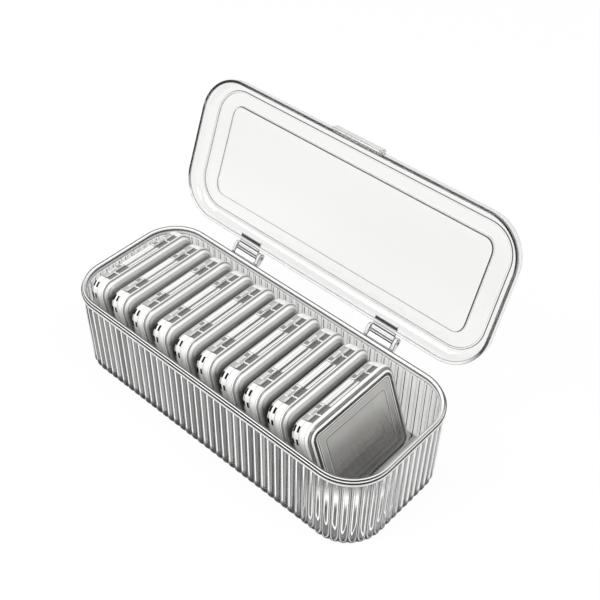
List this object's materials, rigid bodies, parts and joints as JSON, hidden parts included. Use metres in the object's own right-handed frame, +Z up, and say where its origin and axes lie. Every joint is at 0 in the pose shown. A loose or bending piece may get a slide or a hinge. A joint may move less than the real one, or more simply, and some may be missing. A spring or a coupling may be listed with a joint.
{
  "type": "jewelry box",
  "caption": "Clear rectangular keepsake box with rounded corners, fine reeded walls and a hinged lid, holding a row of slim hinged mini cases for bracelets",
  "frame": {"origin": "centre of the flat underside of the box", "axes": "X along the box's length, Y from its front (finger tab side) to its hinges, Z up"},
  "size_m": [0.22, 0.1305, 0.1464],
  "materials": {
    "box_clear_plastic": "clear moulded plastic, gloss, fine upright reeds",
    "lid_clear_plastic": "clear moulded plastic, polished",
    "hinge_clear_plastic": "clear moulded plastic, ribbed, slightly grey",
    "case_clear_plastic": "clear moulded plastic, thin walled, gloss",
    "pin_steel": "drawn steel wire"
  },
  "bodies": {
    "box": {"box_body": "box_clear_plastic", "hinge_pin_left": "pin_steel", "hinge_pin_right": "pin_steel"},
    "main_lid": {"main_lid": "lid_clear_plastic", "hinge_leaf_left": "hinge_clear_plastic", "hinge_leaf_right": "hinge_clear_plastic"},
    "case_01": {"case_01_base": "case_clear_plastic", "case_01_pin_front": "pin_steel", "case_01_pin_rear": "pin_steel"},
    "case_01_lid": {"case_01_lid": "case_clear_plastic"},
    "case_02": {"case_02_base": "case_clear_plastic", "case_02_pin_front": "pin_steel", "case_02_pin_rear": "pin_steel"},
    "case_02_lid": {"case_02_lid": "case_clear_plastic"},
    "case_03": {"case_03_base": "case_clear_plastic", "case_03_pin_front": "pin_steel", "case_03_pin_rear": "pin_steel"},
    "case_03_lid": {"case_03_lid": "case_clear_plastic"},
    "case_04": {"case_04_base": "case_clear_plastic", "case_04_pin_front": "pin_steel", "case_04_pin_rear": "pin_steel"},
    "case_04_lid": {"case_04_lid": "case_clear_plastic"},
    "case_05": {"case_05_base": "case_clear_plastic", "case_05_pin_front": "pin_steel", "case_05_pin_rear": "pin_steel"},
    "case_05_lid": {"case_05_lid": "case_clear_plastic"},
    "case_06": {"case_06_base": "case_clear_plastic", "case_06_pin_front": "pin_steel", "case_06_pin_rear": "pin_steel"},
    "case_06_lid": {"case_06_lid": "case_clear_plastic"},
    "case_07": {"case_07_base": "case_clear_plastic", "case_07_pin_front": "pin_steel", "case_07_pin_rear": "pin_steel"},
    "case_07_lid": {"case_07_lid": "case_clear_plastic"},
    "case_08": {"case_08_base": "case_clear_plastic", "case_08_pin_front": "pin_steel", "case_08_pin_rear": "pin_steel"},
    "case_08_lid": {"case_08_lid": "case_clear_plastic"},
    "case_09": {"case_09_base": "case_clear_plastic", "case_09_pin_front": "pin_steel", "case_09_pin_rear": "pin_steel"},
    "case_09_lid": {"case_09_lid": "case_clear_plastic"},
    "case_10": {"case_10_base": "case_clear_plastic", "case_10_pin_front": "pin_steel", "case_10_pin_rear": "pin_steel"},
    "case_10_lid": {"case_10_lid": "case_clear_plastic"}
  },
  "joints": [
    {"name": "main_lid_hinge", "type": "hinge", "parent": "box", "child": "main_lid", "pos_m": [0, 0.0485, 0.057], "axis": [-1, 0, 0], "range_deg": [-111, 0]},
    {"name": "case_01_lift", "type": "slide", "parent": "box", "child": "case_01", "axis": [-0.2079, 0, 0.9781], "range_m": [0, 0.065]},
    {"name": "case_01_lid_hinge", "type": "hinge", "parent": "case_01", "child": "case_01_lid", "pos_m": [-0.09251, 0, 0.05823], "axis": [0, -1, 0], "range_deg": [0, 1.4]},
    {"name": "case_02_lift", "type": "slide", "parent": "box", "child": "case_02", "axis": [-0.2079, 0, 0.9781], "range_m": [0, 0.065]},
    {"name": "case_02_lid_hinge", "type": "hinge", "parent": "case_02", "child": "case_02_lid", "pos_m": [-0.07522, 0, 0.05823], "axis": [0, -1, 0], "range_deg": [0, 1.4]},
    {"name": "case_03_lift", "type": "slide", "parent": "box", "child": "case_03", "axis": [-0.2079, 0, 0.9781], "range_m": [0, 0.065]},
    {"name": "case_03_lid_hinge", "type": "hinge", "parent": "case_03", "child": "case_03_lid", "pos_m": [-0.05794, 0, 0.05823], "axis": [0, -1, 0], "range_deg": [0, 1.4]},
    {"name": "case_04_lift", "type": "slide", "parent": "box", "child": "case_04", "axis": [-0.2079, 0, 0.9781], "range_m": [0, 0.065]},
    {"name": "case_04_lid_hinge", "type": "hinge", "parent": "case_04", "child": "case_04_lid", "pos_m": [-0.04065, 0, 0.05823], "axis": [0, -1, 0], "range_deg": [0, 1.4]},
    {"name": "case_05_lift", "type": "slide", "parent": "box", "child": "case_05", "axis": [-0.2079, 0, 0.9781], "range_m": [0, 0.065]},
    {"name": "case_05_lid_hinge", "type": "hinge", "parent": "case_05", "child": "case_05_lid", "pos_m": [-0.02337, 0, 0.05823], "axis": [0, -1, 0], "range_deg": [0, 1.4]},
    {"name": "case_06_lift", "type": "slide", "parent": "box", "child": "case_06", "axis": [-0.2079, 0, 0.9781], "range_m": [0, 0.065]},
    {"name": "case_06_lid_hinge", "type": "hinge", "parent": "case_06", "child": "case_06_lid", "pos_m": [-0.00608, 0, 0.05823], "axis": [0, -1, 0], "range_deg": [0, 1.4]},
    {"name": "case_07_lift", "type": "slide", "parent": "box", "child": "case_07", "axis": [-0.2079, 0, 0.9781], "range_m": [0, 0.065]},
    {"name": "case_07_lid_hinge", "type": "hinge", "parent": "case_07", "child": "case_07_lid", "pos_m": [0.01121, 0, 0.05823], "axis": [0, -1, 0], "range_deg": [0, 1.4]},
    {"name": "case_08_lift", "type": "slide", "parent": "box", "child": "case_08", "axis": [-0.2079, 0, 0.9781], "range_m": [0, 0.065]},
    {"name": "case_08_lid_hinge", "type": "hinge", "parent": "case_08", "child": "case_08_lid", "pos_m": [0.02849, 0, 0.05823], "axis": [0, -1, 0], "range_deg": [0, 1.4]},
    {"name": "case_09_lift", "type": "slide", "parent": "box", "child": "case_09", "axis": [-0.2079, 0, 0.9781], "range_m": [0, 0.065]},
    {"name": "case_09_lid_hinge", "type": "hinge", "parent": "case_09", "child": "case_09_lid", "pos_m": [0.04578, 0, 0.05823], "axis": [0, -1, 0], "range_deg": [0, 4]},
    {"name": "case_10_lift", "type": "slide", "parent": "box", "child": "case_10", "axis": [0, 0, 1], "range_m": [0, 0.065]},
    {"name": "case_10_lid_hinge", "type": "hinge", "parent": "case_10", "child": "case_10_lid", "pos_m": [0.06192, 0, 0.05684], "axis": [0, -1, 0], "range_deg": [0, 15]}
  ]
}
